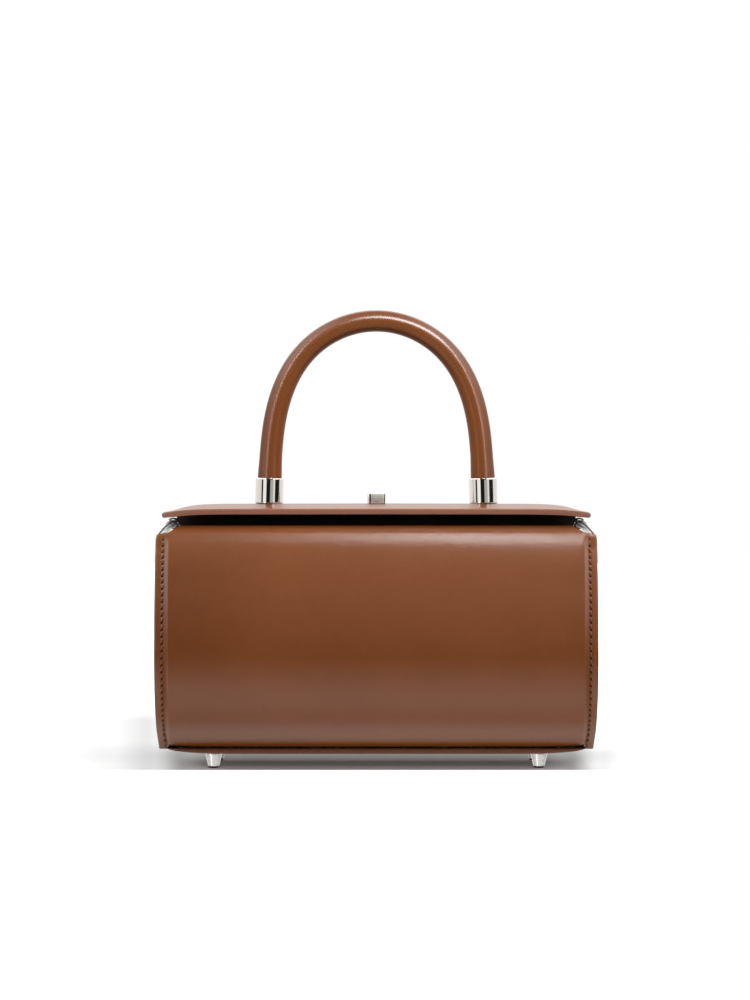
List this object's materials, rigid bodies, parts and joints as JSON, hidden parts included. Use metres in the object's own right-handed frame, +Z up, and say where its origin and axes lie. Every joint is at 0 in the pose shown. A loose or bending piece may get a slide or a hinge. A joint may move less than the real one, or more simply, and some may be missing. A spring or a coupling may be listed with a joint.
{
  "type": "structured top-handle handbag",
  "caption": "Small structured leather handbag with a barrel-curved body, crowned lid, rigid rolled top handle in polished cups, turn lock, strap rings and tapered metal feet.",
  "frame": {"origin": "on the floor under the middle of the bag, level with the undersides of the feet", "axes": "+Z up, +X to the right seen from the front, the front wall towards -Y"},
  "size_m": [0.2158, 0.104, 0.2237],
  "materials": {
    "leather_tan": "smooth semi-gloss tan-brown calf leather with a very fine grain",
    "leather_dark": "the same tan-brown leather, less exposed to light",
    "polished_metal": "mirror-polished nickel",
    "satin_metal": "satin nickel"
  },
  "bodies": {
    "bag": {"front_panel": "leather_tan", "back_panel": "leather_tan", "gusset_right": "leather_tan", "gusset_left": "leather_tan", "lid": "leather_tan", "handle": "leather_tan", "base_panel": "leather_dark", "lid_hinge": "leather_dark", "ferrule_right": "polished_metal", "ferrule_left": "polished_metal", "lock_base": "polished_metal", "strap_lug_right": "polished_metal", "strap_lug_left": "polished_metal", "strap_ring_right": "polished_metal", "strap_ring_left": "polished_metal", "foot_front_left": "satin_metal", "foot_front_right": "satin_metal", "foot_back_left": "satin_metal", "foot_back_right": "satin_metal"},
    "knob": {"turn_knob": "polished_metal"}
  },
  "joints": [
    {"name": "knob_turn", "type": "hinge", "parent": "bag", "child": "knob", "pos_m": [0, 0, 0.1305], "axis": [0, 0, 1], "range_deg": [0, 90]}
  ]
}
